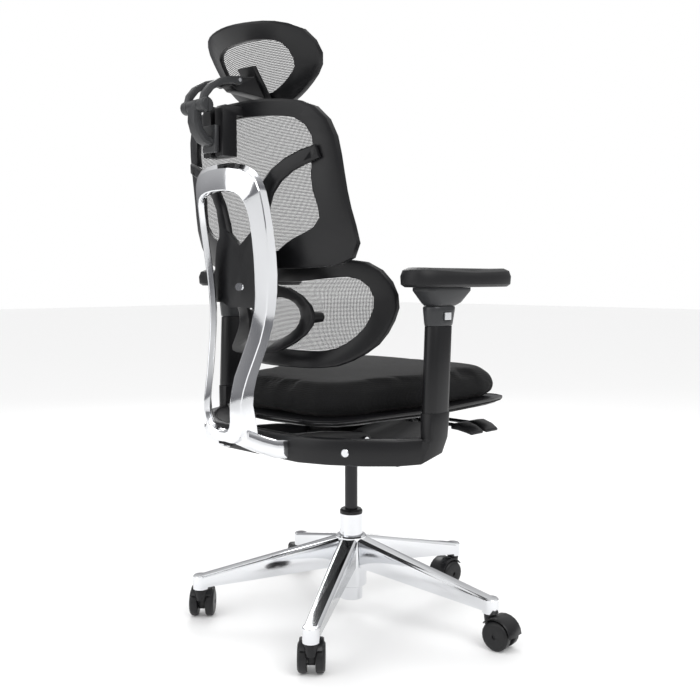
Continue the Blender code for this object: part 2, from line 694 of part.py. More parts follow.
def build_carrier(materials, back):
    up = Vector((0, 0, 1))
    middle = (CARRIER_BOTTOM + CARRIER_TOP) / 2
    half_height = (CARRIER_TOP - CARRIER_BOTTOM) / 2
    plan = [
        (ARM_X - 0.012, 0.118), (ARM_X - 0.032, 0.162), (ARM_X - 0.075, 0.204), (ARM_X - 0.130, 0.240),
        (ARM_X - 0.185, CARRIER_REAR_Y),
        (0.0, CARRIER_REAR_Y),
    ]
    plan = plan + [(-x, y) for x, y in reversed(plan[:-1])]
    def stub(sign):
        """The upright end that an arm post stands on, from its top down to the elbow."""
        rows = []
        for z, half_x, half_y in ((CARRIER_STUB_TOP, POST_HALF_X, POST_HALF_Y), (0.468, 0.0160, 0.0290),
                                  (0.446, 0.0150, 0.0280)):
            centre = (sign * ARM_X, post_centre(z), z)
            rows.append(rounded_box_loop(centre, (sign, 0, 0), half_x, (0, 1, 0), half_y, half_x * 0.7))
        tilted = Vector((0, 0.89, 0.45)).normalized()
        elbow = (sign * (ARM_X - 0.002), ARM_Y + 0.012, 0.428)
        rows.append(rounded_box_loop(elbow, (sign, 0, 0), 0.0140, tilted, 0.027, 0.008))
        return rows

    loops = stub(1)
    for k, (x, y) in enumerate(plan):
        loops.append(rounded_box_loop((x, y, middle), plan_outward(plan, k), CARRIER_HALF_THICKNESS, up, half_height, 0.005))
    loops += reversed(stub(-1))
    bm = bmesh.new()
    loft(bm, loops)
    carrier = make_piece("back_carrier", bm, materials["black_plastic"], back)
    near = HOUSING_HALF_WIDTH + CHEEK_GAP
    for sign in (-1, 1):
        bm = bmesh.new()
        side_prism(bm, [
            (RECLINE_Y - 0.018, RECLINE_Z), (RECLINE_Y - 0.012, RECLINE_Z - 0.013),
            (RECLINE_Y, RECLINE_Z - 0.018), (0.120, 0.388), (CARRIER_REAR_Y - 0.004, CARRIER_BOTTOM + 0.003),
            (CARRIER_REAR_Y - 0.004, CARRIER_TOP - 0.006), (0.150, 0.436), (RECLINE_Y, RECLINE_Z + 0.018),
            (RECLINE_Y - 0.012, RECLINE_Z + 0.013),
        ], sign * near, sign * (near + CHEEK_THICKNESS))
        boolean(carrier, bm, "UNION")
    bore_along_x(carrier, RECLINE_PIN_RADIUS + RUN_FIT, RECLINE_Y, RECLINE_Z, 0.1)
    for sign, word in ((-1, "right"), (1, "left")):
        bm = bmesh.new()
        place, outward = bolt_seat(plan, sign, middle)
        turned(bm, [(0.0045, 0.0), (0.0075, 0.0), (0.0075, 0.0030), (0.0060, 0.0045), (0.0045, 0.0045)],
               place, outward, 16)
        make_piece(f"carrier_bolt_{word}", bm, materials["chromed_steel"], back)


HOOP_ROWS = (
    # inner edge (x, y, z)      outer edge of the rear face     side edge
    ((0.000, 0.352, 0.452), (0.000, 0.345, 0.431), (0.000, 0.330, 0.428)),
    ((0.022, 0.354, 0.456), (0.034, 0.344, 0.432), (0.040, 0.326, 0.430)),
    ((0.038, 0.360, 0.476), (0.056, 0.344, 0.456), (0.075, 0.322, 0.446)),
    ((0.040, 0.361, 0.510), (0.058, 0.348, 0.508), (0.076, 0.334, 0.508)),
    ((0.043, 0.352, 0.560), (0.064, 0.336, 0.560), (0.078, 0.326, 0.560)),
    ((0.058, 0.334, 0.625), (0.079, 0.318, 0.625), (0.092, 0.309, 0.625)),
    ((0.068, 0.324, 0.685), (0.088, 0.309, 0.685), (0.101, 0.299, 0.685)),
    ((0.073, 0.326, 0.750), (0.095, 0.311, 0.750), (0.108, 0.300, 0.750)),
    ((0.076, 0.334, 0.815), (0.100, 0.317, 0.815), (0.111, 0.309, 0.815)),
    ((0.074, 0.343, 0.866), (0.100, 0.326, 0.872), (0.110, 0.319, 0.872)),
    ((0.061, 0.352, 0.894), (0.092, 0.337, 0.920), (0.102, 0.330, 0.922)),
    ((0.035, 0.356, 0.904), (0.060, 0.348, 0.943), (0.067, 0.341, 0.950)),
    ((0.000, 0.357, 0.906), (0.000, 0.353, 0.949), (0.000, 0.345, 0.957)),
)


def build_hoop(materials, back):
    """A closed ring of cast aluminium: a wide rear face, a bevelled side and a hollowed front."""
    rails = []
    for column in range(3):
        half = [row[column] for row in HOOP_ROWS]
        rails.append(spline(mirrored_loop(half), 2, True))
    loops = []
    for inner, outer, side in zip(*rails):
        inner, outer, side = Vector(inner), Vector(outer), Vector(side)
        across = (outer - inner).normalized()
        forward = Vector((0, -1, 0))
        front = (forward - across * forward.dot(across)).normalized()
        bevel = 0.0018
        loops.append([
            inner + across * bevel, outer - across * bevel, outer + front * bevel, side,
            side + front * 0.0050 - across * 0.002,
            side.lerp(inner, 0.35) + front * HOOP_THICKNESS * 0.95,
            inner + front * HOOP_THICKNESS * 0.8, inner + front * bevel,
        ])
    bm = bmesh.new()
    loft(bm, loops, closed=True)
    hoop = make_piece("back_hoop", bm, materials["polished_aluminium"], back)
    face = CARRIER_REAR_Y + CARRIER_HALF_THICKNESS + GAP
    for sign in (-1, 1):
        bm = bmesh.new()
        rows = []
        for x, y, z, half_x, half_z in (
            (0.046, 0.338, 0.444, 0.022, 0.0150), (0.068, 0.320, 0.434, 0.020, 0.0170),
            (0.082, 0.296, 0.424, 0.019, 0.0185), (0.086, face, 0.421, 0.019, 0.0190),
        ):
            rows.append(rounded_box_loop((sign * x, y, z), (sign, 0, 0), half_x, (0, 0, 1), half_z, 0.006))
        loft(bm, rows)
        boolean(hoop, bm, "UNION")


# ---------------------------------------------------------------- back, lumbar and headrest
def back_surface(x, z):
    fall = max(0.0, 0.87 - z)
    return 0.284 + 0.12 * (z - 0.90) - 2.0 * fall ** 2 - BACK_WRAP * x * x


def lumbar_surface(x, z):
    return 0.177 - LUMBAR_WRAP * x * x + 1.2 * (z - 0.672) ** 2


def headrest_surface(x, z):
    return 0.311 - HEADREST_SLOPE * (1.210 - z) - HEADREST_WRAP * x * x


def bracket_surface(x, z):
    return 0.214 + 13.0 * (z - 0.666) ** 2 - 0.6 * x * x


BACK_OUTER = ((0.0, 0.762), (0.080, 0.762), (0.160, 0.765), (0.205, 0.773), (0.229, 0.793),
              (0.235, 0.821), (0.230, 0.860), (0.224, 0.908), (0.221, 0.955), (0.216, 0.998),
              (0.203, 1.030), (0.178, 1.053), (0.138, 1.064), (0.070, 1.070), (0.0, 1.071))
BACK_INNER = ((0.0, 0.788), (0.060, 0.792), (0.105, 0.814), (0.150, 0.831), (0.172, 0.846),
              (0.176, 0.866), (0.168, 0.897), (0.166, 0.926), (0.171, 0.955), (0.177, 0.979),
              (0.171, 1.008), (0.149, 1.029), (0.110, 1.038), (0.050, 1.042), (0.0, 1.043))
LUMBAR_OUTER = ((0.0, 0.567), (0.050, 0.567), (0.095, 0.568), (0.140, 0.577), (0.190, 0.615),
                (0.216, 0.675), (0.217, 0.715), (0.205, 0.750), (0.185, 0.771), (0.160, 0.779),
                (0.120, 0.777), (0.060, 0.770), (0.0, 0.767))
LUMBAR_INNER = ((0.0, 0.602), (0.050, 0.601), (0.095, 0.602), (0.130, 0.612), (0.163, 0.642),
                (0.180, 0.680), (0.182, 0.710), (0.172, 0.733), (0.155, 0.744), (0.135, 0.746),
                (0.100, 0.743), (0.050, 0.738), (0.0, 0.736))
HEADREST_OUTER = ((0.0, 1.071), (0.040, 1.074), (0.068, 1.083), (0.102, 1.102), (0.134, 1.129),
                  (0.148, 1.155), (0.147, 1.178), (0.136, 1.196), (0.116, 1.204), (0.090, 1.209),
                  (0.050, 1.211), (0.0, 1.212))
HEADREST_INNER = ((0.0, 1.096), (0.030, 1.099), (0.058, 1.109), (0.084, 1.124), (0.099, 1.138),
                  (0.102, 1.153), (0.098, 1.169), (0.088, 1.177), (0.070, 1.182), (0.050, 1.184),
                  (0.025, 1.185), (0.0, 1.185))


def frame_and_mesh(names, outer, inner, surface, thickness, materials, body, count=44):
    outer_loop, inner_loop = flat_outline(outer, count), flat_outline(inner, count)
    bm = bmesh.new()
    surface_ring(bm, outer_loop, inner_loop, surface, thickness)
    frame = make_piece(names[0], bm, materials["black_plastic"], body)
    centre = sum(inner_loop, Vector((0.0, 0.0))) / len(inner_loop)
    clear = [point + (centre - point).normalized() * 3.0 * GAP for point in inner_loop]
    bm = bmesh.new()
    surface_panel(bm, clear, surface, 0.004, MESH_THICKNESS, rings=2)
    make_piece(names[1], bm, materials["black_mesh"], body)
    return frame


def build_back(materials, back, lumbar):
    frame = frame_and_mesh(("back_frame", "back_mesh"), BACK_OUTER, BACK_INNER, back_surface,
                           BACK_FRAME_THICKNESS, materials, back)
    block_low, block_high, block_back = 0.9685, 1.061, 0.362
    bm = bmesh.new()
    side_prism(bm, [
        (0.310, 1.0445), (0.330, 1.0445), (0.330, block_low), (block_back, block_low),
        (block_back, block_high - 0.006), (block_back - 0.006, block_high), (0.310, block_high),
    ], -0.030, 0.030)
    boolean(frame, bm, "UNION")
    bm = bmesh.new()
    box(bm, (-0.0066, 0.3485, block_low - 0.02), (0.0066, block_back + 0.02, block_high + 0.04))
    boolean(frame, bm, "DIFFERENCE")

    lift = BACK_FRAME_THICKNESS + GAP

    def plate_surface(x, z):
        return max(back_surface(x, max(z, 0.80)), 0.277 - BACK_WRAP * x * x) + lift

    plate = flat_outline([
        (0.0, 0.688), (0.035, 0.687), (0.060, 0.697), (0.083, 0.696), (0.092, 0.712), (0.090, 0.760),
        (0.080, 0.812), (0.050, 0.838), (0.022, 0.822), (0.0, 0.806),
    ], 36)
    bm = bmesh.new()
    surface_panel(bm, plate, plate_surface, 0.0, PLATE_THICKNESS, rings=2)
    spine = make_piece("spine_plate", bm, materials["black_plastic"], back)
    for sign in (-1, 1):
        rows = []
        path = ((0.052, 0.800, 0.026), (0.058, 0.845, 0.019), (0.063, 0.880, 0.0165), (0.078, 0.908, 0.0155),
                (0.102, 0.931, 0.014), (0.132, 0.949, 0.013), (0.163, 0.961, 0.013), (0.190, 0.969, 0.012))
        for k, (x, z, half) in enumerate(path):
            before, after = path[max(k - 1, 0)], path[min(k + 1, len(path) - 1)]
            ahead = Vector((after[0] - before[0], after[1] - before[1])).normalized()
            normal = Vector((ahead.y, -ahead.x))
            row = []
            for share, depth in ((-1.0, 0.0), (1.0, 0.0), (1.0, 0.006), (0.7, 0.0095), (-0.7, 0.0095),
                                 (-1.0, 0.006)):
                a, b = x + normal.x * half * share, z + normal.y * half * share
                row.append(Vector((sign * a, plate_surface(a, b) + depth, b)))
            rows.append(row)
        bm = bmesh.new()
        loft(bm, rows)
        boolean(spine, bm, "UNION")

    badge_z = 0.727
    bm = bmesh.new()
    matrix = Matrix.Translation((0.0, plate_surface(0, badge_z) + PLATE_THICKNESS + GAP + 0.001, badge_z))
    oval = Matrix.Diagonal((0.0125, 1.0, 0.0080, 1.0))
    bmesh.ops.create_cone(bm, cap_ends=True, segments=24, radius1=1.0, radius2=0.9, depth=0.002,
                          matrix=matrix @ oval @ Matrix.Rotation(-math.pi / 2, 4, "X"))
    make_piece("blank_badge", bm, materials["chromed_steel"], back)

    frame_and_mesh(("lumbar_frame", "lumbar_mesh"), LUMBAR_OUTER, LUMBAR_INNER, lumbar_surface,
                   LUMBAR_FRAME_THICKNESS, materials, lumbar)
    outer = flat_outline([
        (0.0, 0.598), (0.040, 0.598), (0.075, 0.607), (0.101, 0.634), (0.112, 0.668), (0.110, 0.700),
        (0.095, 0.726), (0.050, 0.734), (0.0, 0.735)], 32)
    inner = flat_outline([
        (0.0, 0.622), (0.035, 0.622), (0.055, 0.630), (0.074, 0.650), (0.081, 0.672), (0.079, 0.692),
        (0.066, 0.704), (0.035, 0.707), (0.0, 0.707)], 32)
    bm = bmesh.new()
    surface_ring(bm, outer, inner, bracket_surface, 0.012)
    bracket = make_piece("lumbar_bracket", bm, materials["black_plastic"], lumbar)
    for sign in (-1, 1):
        bm = bmesh.new()
        x, z = 0.094, 0.668
        start = lumbar_surface(x - 0.010, z) + LUMBAR_FRAME_THICKNESS * 0.7
        turned(bm, [(0.010, start + 0.003), (0.012, bracket_surface(x, z) + 0.004)],
               (sign * x, 0, z), (0, 1, 0), 16)
        boolean(bracket, bm, "UNION")


def build_headrest(materials, stalk, arm, head):
    front = 0.362 + GAP
    bm = bmesh.new()
    box(bm, (-0.020, front, 0.9745), (0.020, front + 0.010, 1.0245), 0.0025)
    bar = make_piece("headrest_stalk", bm, materials["grey_plastic"], stalk)
    bm = bmesh.new()
    box(bm, (-0.0060, 0.3492, 0.9765), (0.0060, front + 0.004, 1.0225))
    boolean(bar, bm, "UNION")
    bm = bmesh.new()
    rows = []
    for y, z, angle, half in ((0.3715, 0.9925, 20, 0.0075), (0.386, 0.9985, 40, 0.0085),
                              (0.398, 1.0125, 62, 0.0085), (0.403, 1.0285, 80, 0.0085), (BARREL_Y + 0.002, BARREL_Z - 0.006, 88, 0.0080)):
        turn = math.radians(angle)
        across = Vector((0, -math.sin(turn), math.cos(turn)))
        rows.append(rounded_box_loop((0, y, z), (1, 0, 0), 0.0140, across, half, 0.004, 2))
    loft(bm, rows)
    boolean(bar, bm, "UNION")
    bm = bmesh.new()
    turned(bm, [(BARREL_RADIUS, -0.0145), (BARREL_RADIUS, 0.0145)], (0, BARREL_Y, BARREL_Z), (1, 0, 0), 18)
    boolean(bar, bm, "UNION")
    bore_along_x(bar, 0.0050 + RUN_FIT, BARREL_Y, BARREL_Z, 0.1)

    bm = bmesh.new()
    outer_x = BARREL_HALF
    turned(bm, [
        (0.0050, outer_x + 0.001), (0.0050, -outer_x - GAP), (BARREL_RADIUS + 0.001, -outer_x - GAP),
        (BARREL_RADIUS + 0.001, -outer_x - 0.005), (BARREL_RADIUS - 0.001, -outer_x - 0.007),
    ], (0, BARREL_Y, BARREL_Z), (1, 0, 0), 18)
    bolt = make_piece("headrest_pivot_bolt", bm, materials["grey_plastic"], stalk)
    bm = bmesh.new()
    box(bm, (-outer_x - 0.010, BARREL_Y - 0.0012, BARREL_Z - 0.02),
        (-outer_x - 0.0052, BARREL_Y + 0.0012, BARREL_Z + 0.02))
    boolean(bolt, bm, "DIFFERENCE")

    pin_y, pin_z = TILT_PIN_Y, TILT_PIN_Z
    near, far, inside = 0.0155, BARREL_HALF, 0.0160
    bm = bmesh.new()
    turned(bm, [(BARREL_RADIUS, near), (BARREL_RADIUS, far)], (0, BARREL_Y, BARREL_Z), (1, 0, 0), 18)
    curved = make_piece("headrest_arm", bm, materials["grey_plastic"], arm)
    bm = bmesh.new()
    turned(bm, [(BARREL_RADIUS, -far), (BARREL_RADIUS, -near)], (0, BARREL_Y, BARREL_Z), (1, 0, 0), 18)
    boolean(curved, bm, "UNION")
    for sign in (-1, 1):
        rows = []
        for y, z, angle, half in ((BARREL_Y + 0.001, BARREL_Z + 0.006, 92, 0.0060), (0.397, 1.0745, 118, 0.0060),
                                  (0.384, 1.0895, 140, 0.0060), (0.362, 1.1025, 156, 0.0060),
                                  (0.341, 1.1085, 170, 0.0062), (pin_y + 0.002, pin_z, 178, 0.0070)):
            turn = math.radians(angle)
            across = Vector((0, -math.sin(turn), math.cos(turn)))
            x = sign * (inside + far) / 2
            rows.append(rounded_box_loop((x, y, z), (1, 0, 0), (far - inside) / 2 - 0.0005, across, half, 0.002, 2))
        bm = bmesh.new()
        loft(bm, rows)
        boolean(curved, bm, "UNION")
    bm = bmesh.new()
    box(bm, (-0.0200, 0.349, 1.101), (0.0200, 0.360, 1.109), 0.002)
    boolean(curved, bm, "UNION")
    bore_along_x(curved, 0.0050 + GAP, BARREL_Y, BARREL_Z, 0.1)
    for sign in (-1, 1):
        bm = bmesh.new()
        turned(bm, [(0.0080, sign * (near + 0.0008)), (0.0080, sign * (far - 0.0008))],
               (0, pin_y, pin_z), (1, 0, 0), 14)
        boolean(curved, bm, "UNION")
    bore_along_x(curved, 0.0035 + GAP, pin_y, pin_z, 0.1)

    bm = bmesh.new()
    turned(bm, [(0.0035, -far - 0.001), (0.0035, far + 0.001)], (0, pin_y, pin_z), (1, 0, 0), 14)
    make_piece("headrest_tilt_pin", bm, materials["chromed_steel"], arm)

    frame_and_mesh(("headrest_frame", "headrest_mesh"), HEADREST_OUTER, HEADREST_INNER, headrest_surface,
                   HEADREST_THICKNESS, materials, head, count=36)
    rear = HEADREST_THICKNESS + GAP
    bm = bmesh.new()
    rows = []
    for z in (1.0745, 1.0905, 1.1105, 1.1305, 1.1425):
        row = []
        for x, depth in ((-0.0260, 0.0), (0.0, 0.0), (0.0260, 0.0), (0.0260, 0.005), (0.0225, 0.008),
                         (-0.0225, 0.008), (-0.0260, 0.005)):
            row.append(Vector((x, headrest_surface(x, z) + rear + depth, z)))
        rows.append(row)
    loft(bm, rows)
    clevis = make_piece("headrest_clevis", bm, materials["black_plastic"], head)
    inner = 0.0148
    bm = bmesh.new()
    side_prism(bm, [
        (headrest_surface(0, 1.0905) + rear + 0.004, 1.0885), (pin_y - 0.004, 1.0935), (pin_y + 0.006, 1.1005),
        (pin_y + 0.0085, pin_z), (pin_y + 0.003, pin_z + 0.0085),
        (headrest_surface(0, 1.1255) + rear + 0.004, 1.1255),
    ], -inner, inner)
    boolean(clevis, bm, "UNION")
    bore_along_x(clevis, 0.0035 + RUN_FIT, pin_y, pin_z, 0.1)


# ---------------------------------------------------------------- armrests
def post_centre(z):
    return ARM_Y - POST_LEAN * (z - CARRIER_STUB_TOP)


def oval_rows(sign, rows, shrink):
    loops = []
    for z, half_x, half_y in rows:
        half_x, half_y = half_x - shrink, half_y - shrink
        loops.append(rounded_box_loop(
            (sign * ARM_X, post_centre(z), z), (1, 0, 0), half_x, (0, 1, 0), half_y, half_x * 0.95, 4))
    return loops


def build_arm(sign, word, materials, back, bodies):
    slide, swivel, pad_body, trigger_body = bodies
    bm = bmesh.new()
    foot = CARRIER_STUB_TOP + GAP
    floor = foot + 0.012
    outer = oval_rows(sign, [(foot, POST_HALF_X, POST_HALF_Y), (POST_TOP, POST_HALF_X, POST_HALF_Y)], 0.0)
    inner = oval_rows(sign, [(floor, POST_HALF_X, POST_HALF_Y), (POST_TOP, POST_HALF_X, POST_HALF_Y)], POST_WALL)
    loft(bm, [outer[0], outer[1], inner[1], inner[0]])
    make_piece(f"arm_post_{word}", bm, materials["black_plastic"], back)

    fit = POST_WALL + RUN_FIT
    bm = bmesh.new()
    low = floor + ARM_TRAVEL + STEM_FOOT
    loft(bm, oval_rows(sign, [(low, POST_HALF_X, POST_HALF_Y), (POST_TOP + 0.002, POST_HALF_X, POST_HALF_Y)], fit))
    stem = make_piece(f"arm_stem_{word}", bm, materials["grey_plastic"], slide)
    rows = [(POST_TOP + 0.0008, 0.0170, 0.0305), (POST_TOP + 0.006, 0.0180, 0.0315),
            (STEM_TOP - 0.010, 0.0200, 0.0345), (STEM_TOP - 0.003, 0.0205, 0.0350), (STEM_TOP, 0.0190, 0.0335)]
    bm = bmesh.new()
    loft(bm, oval_rows(sign, rows, 0.0))
    boolean(stem, bm, "UNION")
    button_z = STEM_TOP - 0.018
    button_y = post_centre(button_z)
    bm = bmesh.new()
    box(bm, (sign * (ARM_X + 0.012) - 0.0001, button_y - 0.0090 - RUN_FIT, button_z - 0.0070 - RUN_FIT),
        (sign * (ARM_X + 0.030), button_y + 0.0090 + RUN_FIT, button_z + 0.0070 + RUN_FIT))
    boolean(stem, bm, "DIFFERENCE")
    pivot_y = post_centre(STEM_TOP)
    bm = bmesh.new()
    turned(bm, [(0.0080, STEM_TOP - 0.002), (0.0080, STEM_TOP + 0.0175), (0.0070, STEM_TOP + 0.0185)],
           (sign * ARM_X, pivot_y, 0), (0, 0, 1), 20)
    boolean(stem, bm, "UNION")

    bm = bmesh.new()
    ends = sorted((sign * (ARM_X + 0.0165), sign * (ARM_X + 0.0235)))
    box(bm, (ends[0], button_y - 0.0090, button_z - 0.0070), (ends[1], button_y + 0.0090, button_z + 0.0070), 0.0012)
    make_piece(f"arm_button_{word}", bm, materials["chromed_steel"], trigger_body)

    bm = bmesh.new()
    under = STEM_TOP + RUN_FIT
    top = PAD_BOTTOM - RUN_FIT
    rows = []
    for z, half_x, front, rear, corner in ((under, 0.019, 0.034, 0.030, 0.018), (under + 0.006, 0.024, 0.046, 0.034, 0.020),
                                           (top - 0.006, 0.030, 0.068, 0.052, 0.022), (top, 0.030, 0.068, 0.052, 0.022)):
        centre = (sign * ARM_X, pivot_y + (rear - front) / 2, z)
        rows.append(rounded_box_loop(centre, (1, 0, 0), half_x, (0, 1, 0), (front + rear) / 2, corner * 0.8, 4))
    loft(bm, rows)
    bracket = make_piece(f"arm_bracket_{word}", bm, materials["grey_plastic"], swivel)
    bm = bmesh.new()
    turned(bm, [(0.0080 + RUN_FIT, STEM_TOP - 0.01), (0.0080 + RUN_FIT, STEM_TOP + 0.0200)],
           (sign * ARM_X, pivot_y, 0), (0, 0, 1), 20)
    boolean(bracket, bm, "DIFFERENCE")

    bm = bmesh.new()
    rows = []
    half = PAD_LENGTH / 2
    centre_y = 0.023
    for rise, shrink in ((0.0, 0.008), (0.005, 0.001), (0.020, 0.0), (0.029, 0.004), (PAD_THICKNESS, 0.015)):
        row = []
        for k in range(28):
            angle = 2.0 * math.pi * k / 28
            c, s = math.cos(angle), math.sin(angle)
            x = (PAD_WIDTH / 2 - shrink) * math.copysign(abs(c) ** 0.75, c)
            y = (half - shrink) * math.copysign(abs(s) ** 0.62, s)
            dip = -0.0035 * math.cos(math.pi * y / half) if rise > 0.02 else 0.0
            height = PAD_BOTTOM + rise + dip * 0.6
            row.append(Vector((sign * ARM_X + x, centre_y + y, height)))
        rows.append(row)
    loft(bm, rows)
    make_piece(f"arm_pad_{word}", bm, materials["soft_pad"], pad_body)


# ---------------------------------------------------------------- assembly
def stand_on_origin(root):
    """Shift the chair front to back, to the whole millimetre, so that the origin is halfway along its length.

    The chair's plane of symmetry stays at x = 0 and its wheels stay on z = 0.
    """
    bpy.context.view_layer.update()
    depths = []
    for item in bpy.data.objects:
        if item.type == "MESH" and not item.hide_render:
            depths += [(item.matrix_world @ Vector(corner)).y for corner in item.bound_box]
    root.location.y = -round((min(depths) + max(depths)) / 2, 3)


def build_chair():
    clear_scene()
    materials = {name: make_material(name) for name in MATERIALS}
    root = make_empty("base", (0, 0, 0))
    build_base(materials, root)
    for k in range(LEG_COUNT):
        build_caster(k, materials, root)
    lift = make_empty("lift", (0, 0, SHAFT_TOP), root)
    build_shaft(materials, lift)
    turn = make_empty("mechanism", (0, 0, HOUSING_BOTTOM), lift)
    knob = make_empty("knob", (0, KNOB_Y, KNOB_Z), turn)
    levers = [make_empty(f"lever_{k + 1}", (0, y, LEVER_Z), turn) for k, y in enumerate(LEVER_YS)]
    build_mechanism(materials, turn, knob, levers)
    seat = make_empty("seat", (0, SEAT_HINGE_Y, SEAT_HINGE_Z), turn)
    build_seat(materials, seat)
    back = make_empty("back", (0, RECLINE_Y, RECLINE_Z), turn)
    build_carrier(materials, back)
    build_hoop(materials, back)
    lumbar = make_empty("lumbar", (0, 0.280, 0.730), back)
    build_back(materials, back, lumbar)
    stalk = make_empty("headrest_slide", (0, 0.362, 1.0005), back)
    arm = make_empty("headrest_swing", (0, BARREL_Y, BARREL_Z), stalk)
    head = make_empty("headrest_tilt", (0, TILT_PIN_Y, TILT_PIN_Z), arm)
    build_headrest(materials, stalk, arm, head)
    for sign, word in ((-1, "right"), (1, "left")):
        x = sign * ARM_X
        slide = make_empty(f"arm_slide_{word}", (x, post_centre(POST_TOP), POST_TOP), back)
        swivel = make_empty(f"arm_swivel_{word}", (x, post_centre(STEM_TOP), STEM_TOP), slide)
        pad = make_empty(f"pad_slide_{word}", (x, 0.023, PAD_BOTTOM), swivel)
        button = make_empty(f"button_{word}", (x + sign * 0.02, post_centre(STEM_TOP), STEM_TOP - 0.018), slide)
        build_arm(sign, word, materials, back, (slide, swivel, pad, button))
    stand_on_origin(root)


build_chair()
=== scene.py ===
"""Looks for the swivel office chair: upholstery, stretched mesh, polished castings and moulded plastic.

Metres, +Z up, floor at z = 0, the sitter faces -Y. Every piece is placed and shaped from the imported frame.
"""
import json
import math

import bmesh
import bpy
import numpy as np
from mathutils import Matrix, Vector


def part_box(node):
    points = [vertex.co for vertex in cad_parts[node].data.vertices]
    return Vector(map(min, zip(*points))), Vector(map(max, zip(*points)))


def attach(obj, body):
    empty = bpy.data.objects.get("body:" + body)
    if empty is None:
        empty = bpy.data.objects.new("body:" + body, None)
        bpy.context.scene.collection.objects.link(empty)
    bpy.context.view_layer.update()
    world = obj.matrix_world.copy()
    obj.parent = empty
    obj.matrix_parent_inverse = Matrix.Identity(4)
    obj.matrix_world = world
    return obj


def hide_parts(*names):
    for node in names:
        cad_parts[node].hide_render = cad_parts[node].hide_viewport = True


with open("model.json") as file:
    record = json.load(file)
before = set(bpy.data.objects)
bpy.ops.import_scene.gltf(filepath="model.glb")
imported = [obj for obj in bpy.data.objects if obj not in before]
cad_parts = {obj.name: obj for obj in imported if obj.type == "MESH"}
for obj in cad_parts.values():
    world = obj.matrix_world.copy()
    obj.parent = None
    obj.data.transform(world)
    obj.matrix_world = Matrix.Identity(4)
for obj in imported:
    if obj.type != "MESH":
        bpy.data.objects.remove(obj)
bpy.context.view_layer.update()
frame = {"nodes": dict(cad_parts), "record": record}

bl_info = {
    "name": "Swivel office chair",
    "version": (1, 0, 0),
    "blender": (4, 5, 0),
    "location": "View3D > Sidebar > Chair",
    "description": "Dresses the packed chair frame with upholstery, mesh, castings and mouldings",
    "category": "Object",
}

BODY_OF = {node: body for body, nodes in frame["record"]["behaviour"]["bodies"].items() for node in nodes}
SLOT_OF = {part["node"]: part["material_slot"] for part in frame["record"]["subparts"]}

# node: (bevel width, bevel segments)
CASTINGS = {"star_base": (0.0022, 3), "back_hoop": (0.0024, 3)}
MOULDINGS = {
    "back_frame": (0.0022, 3), "spine_plate": (0.0018, 2), "lumbar_frame": (0.0022, 3),
    "lumbar_bracket": (0.0018, 2), "headrest_frame": (0.0020, 3), "headrest_clevis": (0.0014, 2),
    "back_carrier": (0.0024, 3), "seat_pan": (0.0016, 2), "tilt_mechanism": (0.0028, 3),
    "tension_knob": (0.0010, 2), "height_lever": (0.0014, 2), "tilt_lever": (0.0014, 2),
    "arm_post_left": (0.0020, 3), "arm_post_right": (0.0020, 3),
    "arm_stem_left": (0.0016, 2), "arm_stem_right": (0.0016, 2),
    "arm_bracket_left": (0.0020, 3), "arm_bracket_right": (0.0020, 3),
    "headrest_stalk": (0.0014, 2), "headrest_arm": (0.0010, 2), "headrest_pivot_bolt": (0.0008, 2),
}
CASTER_COUNT = 5
HOOD_ROUNDING = 0.0010
WHEEL_ROUNDING = 0.0012
PAD_ROUNDING = 0.004

# panel: (the frame that it is stretched on, its cut's width and length, its cut's area), in metres
MESH_PANELS = {
    "back_mesh": ("back_frame", (0.3618, 0.2598), 0.08158),
    "lumbar_mesh": ("lumbar_frame", (0.3959, 0.1460), 0.04985),
    "headrest_mesh": ("headrest_frame", (0.2126, 0.1087), 0.01831),
}

MERGE_DISTANCE = 0.00002
ARRIS_ANGLE = math.radians(34)   # an edge sharper than this is rounded

SIMULATED_FRAMES = 20
COVER_PRESSURE = 4
COVER_LIFT = 0.0004              # cover's underside above the lowest point of its CAD solid
COVER_OVER = (0.002, 0.002, 0.004)   # how far the cover may pass its CAD solid's highest corner
PIPING_HEIGHT = 0.72             # share of the pan's height
PIPING_RAKE = 0.042              # radians, the pan's rake
FRONT_FACING = -0.25             # a mesh face whose normal's Y is below this is on the sitter's side

# name: (place from the lift's axis, diameter, watts)
LIGHTS = {
    "key": ((-2.2, 0.4, 2.6), 2.0, 34),
    "fill": ((0.6, 2.4, 1.6), 2.4, 20),
    "rim": ((2.0, -1.4, 2.2), 1.6, 24),
}
LIGHT_AIM = Vector((0, 0, 0.6))
FLOOR_SIZE = 40
FLOOR_DROP = 0.0005              # keeps the floor clear of the wheels
CAMERA_PLACE = Vector((-1.3813, 1.3813, 0.743))   # from the lift's axis
CAMERA_TURN = (math.radians(85.47), 0, math.radians(225))


# ---------------------------------------------------------------- user settings
class ChairColours(bpy.types.PropertyGroup):
    """Colours that a user would change."""
    cloth: bpy.props.FloatVectorProperty(
        name="Cloth", description="Colour of the seat's cover", subtype="COLOR",
        size=3, min=0, max=1, default=(0.004, 0.004, 0.0045))
    plastic: bpy.props.FloatVectorProperty(
        name="Plastic", description="Colour of the frames and the carrier", subtype="COLOR",
        size=3, min=0, max=1, default=(0.007, 0.007, 0.008))
    trim: bpy.props.FloatVectorProperty(
        name="Trim", description="Colour of the arm brackets and the headrest's link", subtype="COLOR",
        size=3, min=0, max=1, default=(0.030, 0.031, 0.033))
    metal: bpy.props.FloatVectorProperty(
        name="Metal", description="Colour of the polished base and hoop", subtype="COLOR",
        size=3, min=0, max=1, default=(0.80, 0.81, 0.83))


